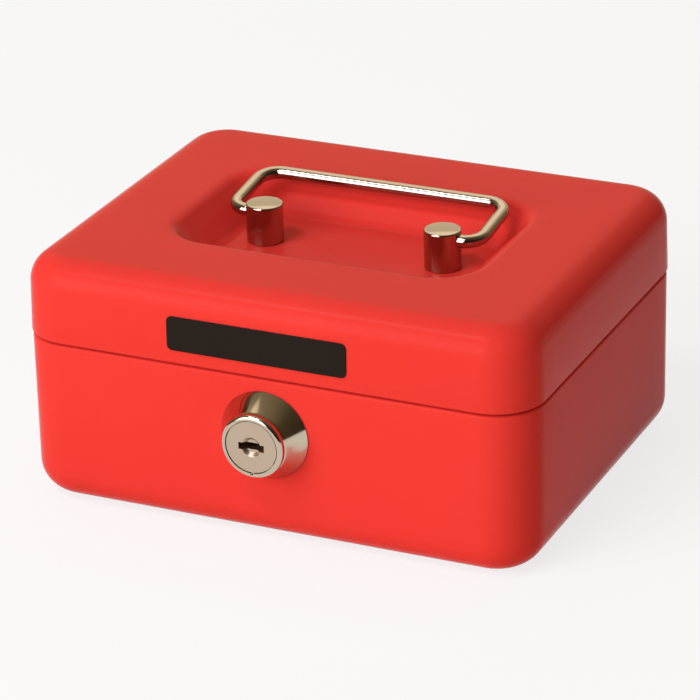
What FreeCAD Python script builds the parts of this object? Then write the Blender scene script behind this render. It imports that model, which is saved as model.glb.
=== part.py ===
"""Small steel cash box with a hinged lid, bail handle, wafer lock and lift-out coin tray.

Frame: origin at the centre of the underside, +X to the right, +Y to the rear, +Z up.
The lock faces -Y. All lengths are in millimetres and angles in degrees.
"""
import FreeCAD
import Part
import math
import os

V = FreeCAD.Vector

# Box and sheet
WIDTH = 152.0
DEPTH = 120.4
BASE_TOP = 48.4
SHEET = 1.0
CORNER_RADIUS = 13.7
BOTTOM_FILLET = 9.4
SHOULDER_FILLET = 0.9

# Stepped rim of the base
RIM_GAP = 0.4
RIM_HEIGHT = 5.6

# Lid
LID_HEIGHT = 23.1
PARTING_GAP = 0.7
LID_OVERHANG = 0.3
LID_DRAFT = 1.5
LID_TOP_FILLET = 8.5

# Recess in the lid
RECESS_HALF_X = 49.0
RECESS_HALF_Y = 31.7
RECESS_CORNER = 16.5
RECESS_DEPTH = 10.05
RECESS_SLOPE = 45.0
RECESS_BLEND = 5.0

# Handle
POST_SPACING = 54.7
POST_RADIUS = 5.3
POST_HEIGHT = 11.5
POST_BEVEL = 0.5
BAIL_DROP = 3.05
BAIL_WIRE_RADIUS = 1.9
BAIL_BORE_CLEARANCE = 0.08
BAIL_ENGAGEMENT = 4.0
BAIL_BORE_END_GAP = 0.4
BAIL_END_REACH = 10.55
BAIL_ARM = 23.3
BAIL_END_BEND = 5.0
BAIL_BAR_BEND = 6.0
BAIL_TILT = 7.3
SCREW_RADIUS = 1.5
SCREW_HOLE_CLEARANCE = 0.2
SCREW_ENGAGEMENT = 5.0
SCREW_HEAD_RADIUS = 3.0
SCREW_HEAD_HEIGHT = 2.0
SCREW_SLOT_WIDTH = 0.8
SCREW_SLOT_DEPTH = 0.9
WASHER_RADIUS = 4.5
WASHER_THICKNESS = 0.8

# Badge plate
BADGE_CENTRE_X = -1.85
BADGE_LENGTH = 53.3
BADGE_HEIGHT = 9.9
BADGE_LOW_EDGE = 4.0
BADGE_CORNER = 1.6
BADGE_THICKNESS = 0.5

# Hinge
HINGE_LENGTH = 88.0
KNUCKLES = 7
KNUCKLE_GAP = 0.3
BARREL_RADIUS = 2.2
PIN_RADIUS = 1.0
PIN_CLEARANCE = 0.05
HINGE_DROP = 1.6
HINGE_NOTCH_CLEARANCE = 0.4
HINGE_END_CLEARANCE = 0.8
LEAF_THICKNESS = 0.8
LEAF_HEIGHT = 12.0
LEAF_TOP_GAP = 1.6

# Lock, measured along its axis from the outer face of the front wall
LOCK_HEIGHT = 32.2
CONE_BASE_RADIUS = 12.9
CONE_TIP_RADIUS = 9.1
CONE_LENGTH = 7.1
RING_RADIUS = 9.25
RING_LENGTH = 1.8
RING_EDGE = 1.2
BARREL_TUBE_RADIUS = 8.4
BARREL_HOLE_CLEARANCE = 0.1
BARREL_REACH = 11.0
PLUG_FACE_RADIUS = 7.5
PLUG_FACE_LENGTH = 2.1
PLUG_FACE_SETBACK = 0.15
PLUG_RADIUS = 6.0
PLUG_FACE_CLEARANCE = 0.25
PLUG_CLEARANCE = 0.05
PLUG_END_PLAY = 0.05
KEYWAY_WIDTH = 7.6
KEYWAY_HEIGHT = 2.0
KEYWAY_END_WALL = 3.0
KEY_DISH_RADIUS = 2.9
KEY_DISH_DEPTH = 1.0
RING_NOTCH = 0.8
RING_NOTCH_REACH = 0.5
TAIL_WIDTH = 5.0
WAFERS = 5
WAFER_PITCH = 2.2
WAFER_THICKNESS = 1.0
WAFER_HEIGHT = 4.4
WAFER_LENGTH = 10.1
WAFER_REACH = 5.5
WAFER_TRAVEL = 0.8
WAFER_CLEARANCE = 0.05
WAFER_WINDOW_MARGIN = 0.15
WAFER_FIRST = 4.2
WAFER_GROOVE_MARGIN = 0.3
CAM_THICKNESS = 1.6
CAM_WIDTH = 8.0
CAM_HUB_RADIUS = 5.5
CAM_LENGTH = 17.0
CAM_PLAY = 0.1
CAM_HOLE_CLEARANCE = 0.03
CAM_SCREW_RADIUS = 1.5
CAM_SCREW_ENGAGEMENT = 5.0
LOCK_WASHER_RADIUS = 11.5
LOCK_WASHER_THICKNESS = 0.6
LOCK_NUT_FLATS = 20.0
LOCK_NUT_THICKNESS = 3.5
NUT_BORE_CLEARANCE = 0.02

# Keeper that hangs from the lid beside the lock
KEEPER_SHEET = 1.5
KEEPER_WIDTH = 7.0
KEEPER_SIDE_GAP = 2.1
KEEPER_CAM_GAP = 0.7
KEEPER_FLANGE = 7.0
KEEPER_RIM_GAP = 1.2

# Coin tray and its rests
TRAY_WALL = 1.6
TRAY_HEIGHT = 22.0
TRAY_TOP_BELOW_BASE = 1.4
TRAY_FLANGE_WIDTH = 3.4
TRAY_FLANGE_THICKNESS = 2.0
TRAY_SIDE_GAP = 1.4
TRAY_REAR_GAP = 1.8
TRAY_LOCK_GAP = 2.4
TRAY_CORNER = 9.0
TRAY_POCKET_FILLET = 3.0
TRAY_COIN_POCKETS = 4
TRAY_NOTE_POCKETS = 2
TRAY_COIN_ROW_SHARE = 0.45
REST_LENGTH = 70.0
REST_SHEET = 1.2
REST_DROP = 8.0
REST_REACH = 5.0

# Places worked out from the sizes above
FRONT = -DEPTH / 2
REAR = DEPTH / 2
LID_BOTTOM = BASE_TOP + PARTING_GAP
LID_TOP = LID_BOTTOM + LID_HEIGHT
RIM_TOP = BASE_TOP + RIM_HEIGHT
RIM_INSET = SHEET + RIM_GAP
DRAFT_SLOPE = math.tan(math.radians(LID_DRAFT))
RECESS_FLOOR = LID_TOP - RECESS_DEPTH
RECESS_UNDERSIDE = RECESS_FLOOR - SHEET
POST_X = POST_SPACING / 2
POST_TOP = RECESS_FLOOR + POST_HEIGHT
BAIL_AXIS_Z = POST_TOP - BAIL_DROP
HINGE_Y = REAR - SHEET
HINGE_Z = LID_BOTTOM - HINGE_DROP
BARREL_ROOM = BARREL_RADIUS + HINGE_NOTCH_CLEARANCE
KNUCKLE_PITCH = HINGE_LENGTH / KNUCKLES
PLUG_FACE_OUT = CONE_LENGTH + RING_LENGTH - PLUG_FACE_SETBACK
PLUG_SHOULDER_OUT = PLUG_FACE_OUT - PLUG_FACE_LENGTH
CAM_FRONT = -(BARREL_REACH + CAM_PLAY)
CAM_BACK = CAM_FRONT - CAM_THICKNESS
CAM_SCREW_END = CAM_BACK - WASHER_THICKNESS - SCREW_HEAD_HEIGHT
BAIL_SPAN = POST_SPACING + 2 * BAIL_END_REACH
TRAY_TOP = BASE_TOP - TRAY_TOP_BELOW_BASE
TRAY_HALF_X = WIDTH / 2 - RIM_INSET - SHEET - TRAY_SIDE_GAP
TRAY_FRONT = FRONT - CAM_SCREW_END + TRAY_LOCK_GAP
TRAY_REAR = HINGE_Y - BARREL_RADIUS - TRAY_REAR_GAP
KEEPER_LEFT = BARREL_TUBE_RADIUS + KEEPER_SIDE_GAP


def rounded_wire(half_x, half_y, radius, z, centre_y=0.0):
    """Closed rounded rectangle at height z, as four lines and four quarter arcs."""
    edges = []
    diagonal = radius * math.sqrt(0.5)
    corners = [(1, 1), (-1, 1), (-1, -1), (1, -1)]
    points = []
    for sign_x, sign_y in corners:
        cx = sign_x * (half_x - radius)
        cy = centre_y + sign_y * (half_y - radius)
        along_x = V(cx, cy + sign_y * radius, z)
        along_y = V(cx + sign_x * radius, cy, z)
        middle = V(cx + sign_x * diagonal, cy + sign_y * diagonal, z)
        ends = (along_y, along_x) if sign_x * sign_y > 0 else (along_x, along_y)
        points.append((ends[0], middle, ends[1]))
    for index, (start, middle, end) in enumerate(points):
        edges.append(Part.Arc(start, middle, end).toShape())
        following = points[(index + 1) % len(points)][0]
        edges.append(Part.LineSegment(end, following).toShape())
    return Part.Wire(edges)


def rounded_block(half_x, half_y, radius, low, high, centre_y=0.0):
    """Upright block with a rounded rectangular plan."""
    face = Part.Face(rounded_wire(half_x, half_y, radius, low, centre_y))
    return face.extrude(V(0, 0, high - low))


def box(x0, x1, y0, y1, z0, z1):
    """Box between two corners."""
    return Part.makeBox(x1 - x0, y1 - y0, z1 - z0, V(x0, y0, z0))


def edges_at(shape, z):
    """Edges that lie wholly at height z."""
    level = 1e-4
    return [e for e in shape.Edges
            if abs(e.BoundBox.ZMin - z) < level and abs(e.BoundBox.ZMax - z) < level]


def one_solid(shape):
    """Join split faces and return the shape's single solid."""
    clean = shape.removeSplitter()
    assert len(clean.Solids) == 1, "expected one solid"
    return clean.Solids[0]


def ring(outer, inner, low, high):
    """Ring about the Z axis between two heights."""
    span = high - low
    return Part.makeCylinder(outer, span, V(0, 0, low)).cut(
        Part.makeCylinder(inner, span, V(0, 0, low)))


def rod(radius, x0, x1, y, z):
    """Round bar parallel to X."""
    return Part.makeCylinder(radius, x1 - x0, V(x0, y, z), V(1, 0, 0))


def extruded_yz(points, x0, x1):
    """Straight-sided outline in the YZ plane carried along X."""
    corners = [V(x0, y, z) for y, z in points]
    face = Part.Face(Part.makePolygon(corners + corners[:1]))
    return face.extrude(V(x1 - x0, 0, 0))


def at_lock(shape):
    """Place a lock piece built with X right, Y up and Z outwards from the front wall."""
    placed = shape.copy()
    placed.rotate(V(0, 0, 0), V(1, 0, 0), 90)
    placed.translate(V(0, FRONT, LOCK_HEIGHT))
    return placed


def lid_wall_y(z, inset):
    """Distance of the lid's front or rear wall face from the middle at height z."""
    return DEPTH / 2 + LID_OVERHANG - inset - (z - LID_BOTTOM) * DRAFT_SLOPE


def base_form(inset, rim_inset, low, shoulder, top):
    """Lower box as a full solid: body with a rounded bottom edge, and the narrower rim."""
    body = rounded_block(WIDTH / 2 - inset, DEPTH / 2 - inset, CORNER_RADIUS - inset,
                         low, shoulder)
    body = body.makeFillet(BOTTOM_FILLET - inset, edges_at(body, low))
    if SHOULDER_FILLET > inset:
        body = body.makeFillet(SHOULDER_FILLET, edges_at(body, shoulder))
    rim_base = (low + shoulder) / 2
    rim = rounded_block(WIDTH / 2 - rim_inset, DEPTH / 2 - rim_inset,
                        CORNER_RADIUS - rim_inset, rim_base, top)
    return body.fuse(rim)


def base_shell():
    """Pressed lower box with its stepped rim, lock hole and hinge notch."""
    outer = base_form(0.0, RIM_INSET, 0.0, BASE_TOP, RIM_TOP)
    inner = base_form(SHEET, RIM_INSET + SHEET, SHEET, BASE_TOP - SHEET, RIM_TOP + SHEET)
    shell = outer.cut(inner)
    hole = Part.makeCylinder(BARREL_TUBE_RADIUS + BARREL_HOLE_CLEARANCE, 4 * SHEET,
                             V(0, 0, -2 * SHEET))
    shell = shell.cut(at_lock(hole))
    notch_half = HINGE_LENGTH / 2 + HINGE_END_CLEARANCE
    notch = box(-notch_half, notch_half, HINGE_Y - BARREL_ROOM, REAR + SHEET,
                HINGE_Z - BARREL_ROOM, RIM_TOP + SHEET)
    return one_solid(shell.cut(notch))


def lid_form(inset):
    """Lid as a full solid, every face set in by one distance, with its recess sunk in."""
    low = LID_BOTTOM - (SHEET if inset else 0.0)
    top = LID_TOP - inset
    wires = []
    for z in (low, top):
        shrink = inset - LID_OVERHANG + (z - LID_BOTTOM) * DRAFT_SLOPE
        wires.append(rounded_wire(WIDTH / 2 - shrink, DEPTH / 2 - shrink,
                                  CORNER_RADIUS - shrink, z))
    body = Part.makeLoft(wires, True, True)
    body = body.makeFillet(LID_TOP_FILLET - inset, edges_at(body, top))
    slope = math.radians(RECESS_SLOPE)
    blend_reach = math.tan(slope / 2)
    floor = RECESS_FLOOR - inset
    rim_shrink = RECESS_BLEND * blend_reach - inset * blend_reach
    floor_shrink = rim_shrink + RECESS_DEPTH / math.tan(slope)
    sections = []
    for z, shrink in ((floor, floor_shrink), (top, rim_shrink)):
        sections.append(rounded_wire(RECESS_HALF_X - shrink, RECESS_HALF_Y - shrink,
                                     RECESS_CORNER - shrink, z))
    pocket = Part.makeLoft(sections, True, True)
    pocket = pocket.makeFillet(RECESS_BLEND + inset, edges_at(pocket, floor))
    body = body.cut(pocket)
    rim_edges = [e for e in edges_at(body, top)
                 if max(abs(e.BoundBox.XMin), abs(e.BoundBox.XMax)) < RECESS_HALF_X + inset
                 and max(abs(e.BoundBox.YMin), abs(e.BoundBox.YMax)) < RECESS_HALF_Y + inset]
    return body.makeFillet(RECESS_BLEND - inset, rim_edges)


def lid_shell():
    """Pressed lid with its recess, the screw holes for the posts and the hinge notch."""
    shell = lid_form(0.0).cut(lid_form(SHEET))
    for side in (-1, 1):
        hole = Part.makeCylinder(SCREW_RADIUS + SCREW_HOLE_CLEARANCE, 3 * SHEET,
                                 V(side * POST_X, 0, RECESS_UNDERSIDE - SHEET))
        shell = shell.cut(hole)
    notch_half = HINGE_LENGTH / 2 + HINGE_END_CLEARANCE
    notch = box(-notch_half, notch_half, HINGE_Y - BARREL_ROOM, REAR + 2 * SHEET,
                LID_BOTTOM - SHEET, HINGE_Z + BARREL_ROOM)
    return one_solid(shell.cut(notch))


def hinge_leaf(outline, root_outline, own, bore):
    """One hinge leaf: a plate, with a rolled knuckle at every second place along the pin."""
    half = HINGE_LENGTH / 2
    leaf = extruded_yz(outline, -half, half)
    for index in range(own, KNUCKLES, 2):
        x0 = -half + index * KNUCKLE_PITCH + (KNUCKLE_GAP / 2 if index else 0.0)
        x1 = -half + (index + 1) * KNUCKLE_PITCH
        x1 -= KNUCKLE_GAP / 2 if index < KNUCKLES - 1 else 0.0
        knuckle = rod(BARREL_RADIUS, x0, x1, HINGE_Y, HINGE_Z)
        leaf = leaf.fuse(knuckle.fuse(extruded_yz(root_outline, x0, x1)))
    return one_solid(leaf.cut(rod(bore, -half, half, HINGE_Y, HINGE_Z)))


def hinge_leaf_base():
    """Leaf welded inside the rear wall of the base, with the end knuckles."""
    face = HINGE_Y
    back = HINGE_Y - LEAF_THICKNESS
    top = HINGE_Z - BARREL_ROOM
    low = top - LEAF_HEIGHT
    outline = [(face, low), (face, top), (back, top), (back, low)]
    root = [(face, top), (face, HINGE_Z), (back, HINGE_Z), (back, top)]
    return hinge_leaf(outline, root, 0, PIN_RADIUS)


def hinge_leaf_lid():
    """Leaf welded inside the lid's sloping rear wall, with the middle knuckles."""
    low = HINGE_Z + BARREL_ROOM
    top = LID_TOP - LID_TOP_FILLET - LEAF_TOP_GAP
    faces = [(lid_wall_y(z, SHEET), z) for z in (HINGE_Z, low, top)]
    backs = [(y - LEAF_THICKNESS, z) for y, z in faces]
    outline = [faces[1], faces[2], backs[2], backs[1]]
    root = [faces[0], faces[1], backs[1], backs[0]]
    return hinge_leaf(outline, root, 1, PIN_RADIUS + PIN_CLEARANCE)


def hinge_pin():
    """Plain pin through all the knuckles."""
    return rod(PIN_RADIUS, -HINGE_LENGTH / 2, HINGE_LENGTH / 2, HINGE_Y, HINGE_Z)


def lock_escutcheon():
    """Conical ring between the front wall and the barrel's front ring."""
    cone = Part.makeCone(CONE_BASE_RADIUS, CONE_TIP_RADIUS, CONE_LENGTH)
    bore = BARREL_TUBE_RADIUS + BARREL_HOLE_CLEARANCE
    return at_lock(cone.cut(Part.makeCylinder(bore, CONE_LENGTH)))


def wafer_places():
    """Outer face of each wafer along the lock's axis."""
    return [WAFER_FIRST - index * WAFER_PITCH for index in range(WAFERS)]


def lock_barrel():
    """Lock body: front ring, tube through the wall, stepped bore and two wafer grooves."""
    face = CONE_LENGTH + RING_LENGTH
    front_ring = Part.makeCylinder(RING_RADIUS, RING_LENGTH, V(0, 0, CONE_LENGTH))
    front_ring = front_ring.makeFillet(RING_EDGE, edges_at(front_ring, face))
    tube = Part.makeCylinder(BARREL_TUBE_RADIUS, BARREL_REACH + CONE_LENGTH,
                             V(0, 0, -BARREL_REACH))
    body = front_ring.fuse(tube)
    seat = PLUG_SHOULDER_OUT - PLUG_END_PLAY
    body = body.cut(Part.makeCylinder(PLUG_RADIUS + PLUG_CLEARANCE, face + BARREL_REACH,
                                      V(0, 0, -BARREL_REACH)))
    mouth = PLUG_FACE_RADIUS + PLUG_FACE_CLEARANCE
    body = body.cut(Part.makeCylinder(mouth, face - seat, V(0, 0, seat)))
    reach = WAFER_REACH + WAFER_TRAVEL + WAFER_GROOVE_MARGIN
    half = WAFER_HEIGHT / 2 + WAFER_GROOVE_MARGIN
    low = wafer_places()[-1] - WAFER_THICKNESS - WAFER_GROOVE_MARGIN
    high = wafer_places()[0] + WAFER_GROOVE_MARGIN
    body = body.cut(box(0, reach, -half, half, low, high))
    body = body.cut(box(-half, half, -reach, 0, low, high))
    mark = box(-RING_NOTCH / 2, RING_NOTCH / 2, -mouth - RING_NOTCH_REACH,
               -PLUG_FACE_RADIUS, face - RING_NOTCH, face + RING_EDGE)
    return at_lock(one_solid(body.cut(mark)))


def lock_plug():
    """Turning plug with its key slot, dished lead-in, wafer slots and square tail."""
    plug = Part.makeCylinder(PLUG_FACE_RADIUS, PLUG_FACE_LENGTH, V(0, 0, PLUG_SHOULDER_OUT))
    plug = plug.fuse(Part.makeCylinder(PLUG_RADIUS, PLUG_SHOULDER_OUT + BARREL_REACH,
                                       V(0, 0, -BARREL_REACH)))
    half_tail = TAIL_WIDTH / 2
    plug = plug.fuse(box(-half_tail, half_tail, -half_tail, half_tail, CAM_BACK, -BARREL_REACH))
    keyway_end = -BARREL_REACH + KEYWAY_END_WALL
    plug = plug.cut(box(-KEYWAY_WIDTH / 2, KEYWAY_WIDTH / 2, -KEYWAY_HEIGHT / 2,
                        KEYWAY_HEIGHT / 2, keyway_end, PLUG_FACE_OUT))
    plug = plug.cut(Part.makeCone(KEY_DISH_RADIUS - KEY_DISH_DEPTH, KEY_DISH_RADIUS,
                                  KEY_DISH_DEPTH, V(0, 0, PLUG_FACE_OUT - KEY_DISH_DEPTH)))
    half = WAFER_HEIGHT / 2 + WAFER_CLEARANCE
    for face in wafer_places():
        plug = plug.cut(box(-PLUG_RADIUS, PLUG_RADIUS, -half, half,
                            face - WAFER_THICKNESS - WAFER_CLEARANCE, face + WAFER_CLEARANCE))
    hole = Part.makeCylinder(CAM_SCREW_RADIUS, CAM_SCREW_ENGAGEMENT, V(0, 0, CAM_BACK))
    return at_lock(one_solid(plug.cut(hole)))


def lock_wafers():
    """Wafers drawn in level with the plug, each with a window for the key."""
    plates = []
    half_window_x = KEYWAY_WIDTH / 2 + WAFER_WINDOW_MARGIN
    half_window_y = KEYWAY_HEIGHT / 2 + WAFER_WINDOW_MARGIN
    back_end = WAFER_REACH - WAFER_LENGTH
    for face in wafer_places():
        low = face - WAFER_THICKNESS
        plate = box(back_end, WAFER_REACH, -WAFER_HEIGHT / 2, WAFER_HEIGHT / 2, low, face)
        plate = plate.cut(box(-half_window_x, half_window_x, -half_window_y, half_window_y,
                              low, face))
        plates.append(at_lock(plate))
    return Part.makeCompound(plates)


def lock_cam():
    """Flat cam on the square tail, pointing up while the lock is open."""
    half = CAM_WIDTH / 2
    arm = box(-half, half, 0, CAM_LENGTH - half, CAM_BACK, CAM_FRONT)
    hub = Part.makeCylinder(CAM_HUB_RADIUS, CAM_THICKNESS, V(0, 0, CAM_BACK))
    tip = Part.makeCylinder(half, CAM_THICKNESS, V(0, CAM_LENGTH - half, CAM_BACK))
    half_hole = TAIL_WIDTH / 2 + CAM_HOLE_CLEARANCE
    tail = box(-half_hole, half_hole, -half_hole, half_hole, CAM_BACK, CAM_FRONT)
    return at_lock(one_solid(arm.fuse(hub).fuse(tip).cut(tail)))


def cam_washer():
    """Washer under the cam screw's head."""
    return at_lock(ring(WASHER_RADIUS, CAM_SCREW_RADIUS, CAM_BACK - WASHER_THICKNESS, CAM_BACK))


def slotted_screw(radius, length):
    """Pan head screw along Z with its head's upper face at zero, the shank rising from it."""
    head = Part.makeCylinder(SCREW_HEAD_RADIUS, SCREW_HEAD_HEIGHT, V(0, 0, -SCREW_HEAD_HEIGHT))
    head = head.makeFillet(SCREW_HEAD_HEIGHT / 3, edges_at(head, -SCREW_HEAD_HEIGHT))
    slot = box(-SCREW_HEAD_RADIUS, SCREW_HEAD_RADIUS, -SCREW_SLOT_WIDTH / 2,
               SCREW_SLOT_WIDTH / 2, -SCREW_HEAD_HEIGHT, -SCREW_HEAD_HEIGHT + SCREW_SLOT_DEPTH)
    return one_solid(head.cut(slot).fuse(Part.makeCylinder(radius, length)))


def cam_screw():
    """Screw that holds the cam on the plug."""
    screw = slotted_screw(CAM_SCREW_RADIUS, WASHER_THICKNESS + CAM_SCREW_ENGAGEMENT)
    screw.translate(V(0, 0, CAM_BACK - WASHER_THICKNESS))
    return at_lock(screw)


def lock_washer():
    """Washer between the front wall and the lock nut."""
    back = -SHEET - LOCK_WASHER_THICKNESS
    return at_lock(ring(LOCK_WASHER_RADIUS, BARREL_TUBE_RADIUS + BARREL_HOLE_CLEARANCE,
                        back, -SHEET))


def lock_nut():
    """Hexagon nut on the barrel."""
    low = -SHEET - LOCK_WASHER_THICKNESS - LOCK_NUT_THICKNESS
    reach = LOCK_NUT_FLATS / math.sqrt(3)
    sides = 6
    corners = [V(reach * math.cos(2 * math.pi * k / sides),
                 reach * math.sin(2 * math.pi * k / sides), low) for k in range(sides)]
    prism = Part.Face(Part.makePolygon(corners + corners[:1])).extrude(V(0, 0, LOCK_NUT_THICKNESS))
    bore = Part.makeCylinder(BARREL_TUBE_RADIUS + NUT_BORE_CLEARANCE, LOCK_NUT_THICKNESS,
                             V(0, 0, low))
    return at_lock(prism.cut(bore))


def keeper():
    """Bent strap on the lid's front wall, with a toe that the cam swings down over."""
    x0 = KEEPER_LEFT
    x1 = KEEPER_LEFT + KEEPER_WIDTH
    shelf = RIM_TOP + KEEPER_RIM_GAP
    shelf_top = shelf + KEEPER_SHEET
    flange_top = shelf + KEEPER_FLANGE
    strap_back = FRONT - CAM_FRONT - KEEPER_CAM_GAP
    strap_front = strap_back - KEEPER_SHEET
    toe_top = LOCK_HEIGHT - CAM_WIDTH / 2 - KEEPER_CAM_GAP
    toe_low = toe_top - KEEPER_SHEET
    toe_back = FRONT - CAM_BACK + KEEPER_CAM_GAP
    walls = [-lid_wall_y(z, SHEET) for z in (shelf, flange_top)]
    flange_inner = -lid_wall_y(flange_top, SHEET) + KEEPER_SHEET
    outline = [(walls[0], shelf), (strap_front, shelf), (strap_front, toe_low),
               (toe_back, toe_low), (toe_back, toe_top), (strap_back, toe_top),
               (strap_back, shelf_top), (flange_inner, shelf_top),
               (flange_inner, flange_top), (walls[1], flange_top)]
    return extruded_yz(outline, x0, x1)


def badge_plate():
    """Thin blank plate on the lid's sloping front wall."""
    outline = rounded_wire(BADGE_LENGTH / 2, BADGE_HEIGHT / 2, BADGE_CORNER, 0.0)
    plate = Part.Face(outline).extrude(V(0, 0, BADGE_THICKNESS))
    plate.translate(V(BADGE_CENTRE_X, BADGE_LOW_EDGE + BADGE_HEIGHT / 2, 0))
    plate.rotate(V(0, 0, 0), V(1, 0, 0), 90 - LID_DRAFT)
    plate.translate(V(0, -lid_wall_y(LID_BOTTOM, 0.0), LID_BOTTOM))
    return plate


def handle_post(side):
    """Chromed post with a blind side bore for the bail and a screw hole below."""
    post = Part.makeCylinder(POST_RADIUS, POST_HEIGHT, V(0, 0, RECESS_FLOOR))
    post = post.makeChamfer(POST_BEVEL, edges_at(post, POST_TOP))
    post = post.cut(Part.makeCylinder(SCREW_RADIUS, SCREW_ENGAGEMENT, V(0, 0, RECESS_FLOOR)))
    start = POST_RADIUS - BAIL_ENGAGEMENT - BAIL_BORE_END_GAP
    bore = rod(BAIL_WIRE_RADIUS + BAIL_BORE_CLEARANCE, start, 2 * POST_RADIUS, 0, BAIL_AXIS_Z)
    post = post.cut(bore)
    if side < 0:
        post.rotate(V(0, 0, 0), V(0, 0, 1), 180)
    post.translate(V(side * POST_X, 0, 0))
    return post


def post_fasteners():
    """Screws and washers that hold the two posts from below."""
    screws = []
    washers = []
    head_seat = RECESS_UNDERSIDE - WASHER_THICKNESS
    for side in (-1, 1):
        screw = slotted_screw(SCREW_RADIUS, WASHER_THICKNESS + SHEET + SCREW_ENGAGEMENT)
        screw.translate(V(side * POST_X, 0, head_seat))
        screws.append(screw)
        washer = ring(WASHER_RADIUS, SCREW_RADIUS + SCREW_HOLE_CLEARANCE,
                      head_seat, RECESS_UNDERSIDE)
        washer.translate(V(side * POST_X, 0, 0))
        washers.append(washer)
    return Part.makeCompound(screws), Part.makeCompound(washers)


def bail_handle():
    """Round wire bail: two ends in the posts, two arms and the grip bar, lying back."""
    end_x = POST_X + POST_RADIUS - BAIL_ENGAGEMENT
    half_span = BAIL_SPAN / 2
    pivot_bend = BAIL_END_BEND
    bar_bend = BAIL_BAR_BEND
    near = math.sqrt(0.5)
    edges = []

    def line(a, b):
        edges.append(Part.LineSegment(a, b).toShape())

    def bend(a, middle, b):
        edges.append(Part.Arc(a, middle, b).toShape())

    def left(x, y):
        return V(-x, y, 0)

    def right(x, y):
        return V(x, y, 0)

    pivot = (half_span - pivot_bend, pivot_bend)
    corner = (half_span - bar_bend, BAIL_ARM - bar_bend)
    pivot_mid = (pivot[0] + pivot_bend * near, pivot[1] - pivot_bend * near)
    corner_mid = (corner[0] + bar_bend * near, corner[1] + bar_bend * near)
    line(left(end_x, 0), left(pivot[0], 0))
    bend(left(pivot[0], 0), left(*pivot_mid), left(half_span, pivot[1]))
    line(left(half_span, pivot[1]), left(half_span, corner[1]))
    bend(left(half_span, corner[1]), left(*corner_mid), left(corner[0], BAIL_ARM))
    line(left(corner[0], BAIL_ARM), right(corner[0], BAIL_ARM))
    bend(right(corner[0], BAIL_ARM), right(*corner_mid), right(half_span, corner[1]))
    line(right(half_span, corner[1]), right(half_span, pivot[1]))
    bend(right(half_span, pivot[1]), right(*pivot_mid), right(pivot[0], 0))
    line(right(pivot[0], 0), right(end_x, 0))
    path = Part.Wire(edges)
    section = Part.Wire(Part.makeCircle(BAIL_WIRE_RADIUS, left(end_x, 0), V(1, 0, 0)))
    wire = path.makePipeShell([section], True, False)
    wire.rotate(V(0, 0, 0), V(1, 0, 0), BAIL_TILT)
    wire.translate(V(0, 0, BAIL_AXIS_Z))
    return one_solid(wire)


def tray_pockets():
    """Plan of each tray pocket as (x0, x1, y0, y1): coins in front, notes behind."""
    inner_x = TRAY_HALF_X - TRAY_FLANGE_WIDTH - TRAY_WALL
    y0 = TRAY_FRONT + TRAY_WALL
    y1 = TRAY_REAR - TRAY_WALL
    split = y0 + (y1 - y0) * TRAY_COIN_ROW_SHARE
    rows = ((TRAY_COIN_POCKETS, y0, split - TRAY_WALL / 2),
            (TRAY_NOTE_POCKETS, split + TRAY_WALL / 2, y1))
    plans = []
    for count, low, high in rows:
        pitch = (2 * inner_x + TRAY_WALL) / count
        for index in range(count):
            x0 = -inner_x + index * pitch
            plans.append((x0, x0 + pitch - TRAY_WALL, low, high))
    return plans


def coin_tray():
    """Moulded tray with a flange on its two sides, and pockets with rounded floors."""
    bottom = TRAY_TOP - TRAY_HEIGHT
    half_y = (TRAY_REAR - TRAY_FRONT) / 2
    centre_y = (TRAY_REAR + TRAY_FRONT) / 2
    body = rounded_block(TRAY_HALF_X - TRAY_FLANGE_WIDTH, half_y, TRAY_CORNER,
                         bottom, TRAY_TOP, centre_y)
    flange = rounded_block(TRAY_HALF_X, half_y, TRAY_CORNER,
                           TRAY_TOP - TRAY_FLANGE_THICKNESS, TRAY_TOP, centre_y)
    tray = body.fuse(flange)
    floor = bottom + TRAY_WALL
    for x0, x1, y0, y1 in tray_pockets():
        pocket = rounded_block((x1 - x0) / 2, (y1 - y0) / 2, TRAY_CORNER - TRAY_WALL,
                               floor, TRAY_TOP + TRAY_WALL, (y0 + y1) / 2)
        pocket.translate(V((x0 + x1) / 2, 0, 0))
        pocket = pocket.makeFillet(TRAY_POCKET_FILLET, edges_at(pocket, floor))
        tray = tray.cut(pocket)
    return one_solid(tray)


def tray_rest(side):
    """Angle ledge on one side wall that carries the tray's flange."""
    wall = WIDTH / 2 - SHEET
    inner = wall - REST_REACH
    top = TRAY_TOP - TRAY_FLANGE_THICKNESS
    y0 = (TRAY_FRONT + TRAY_REAR - REST_LENGTH) / 2
    y1 = y0 + REST_LENGTH
    angle = box(inner, wall, y0, y1, top - REST_SHEET, top).fuse(
        box(wall - REST_SHEET, wall, y0, y1, top - REST_DROP, top))
    if side < 0:
        angle = angle.mirror(V(0, 0, 0), V(1, 0, 0))
    return one_solid(angle)


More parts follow.
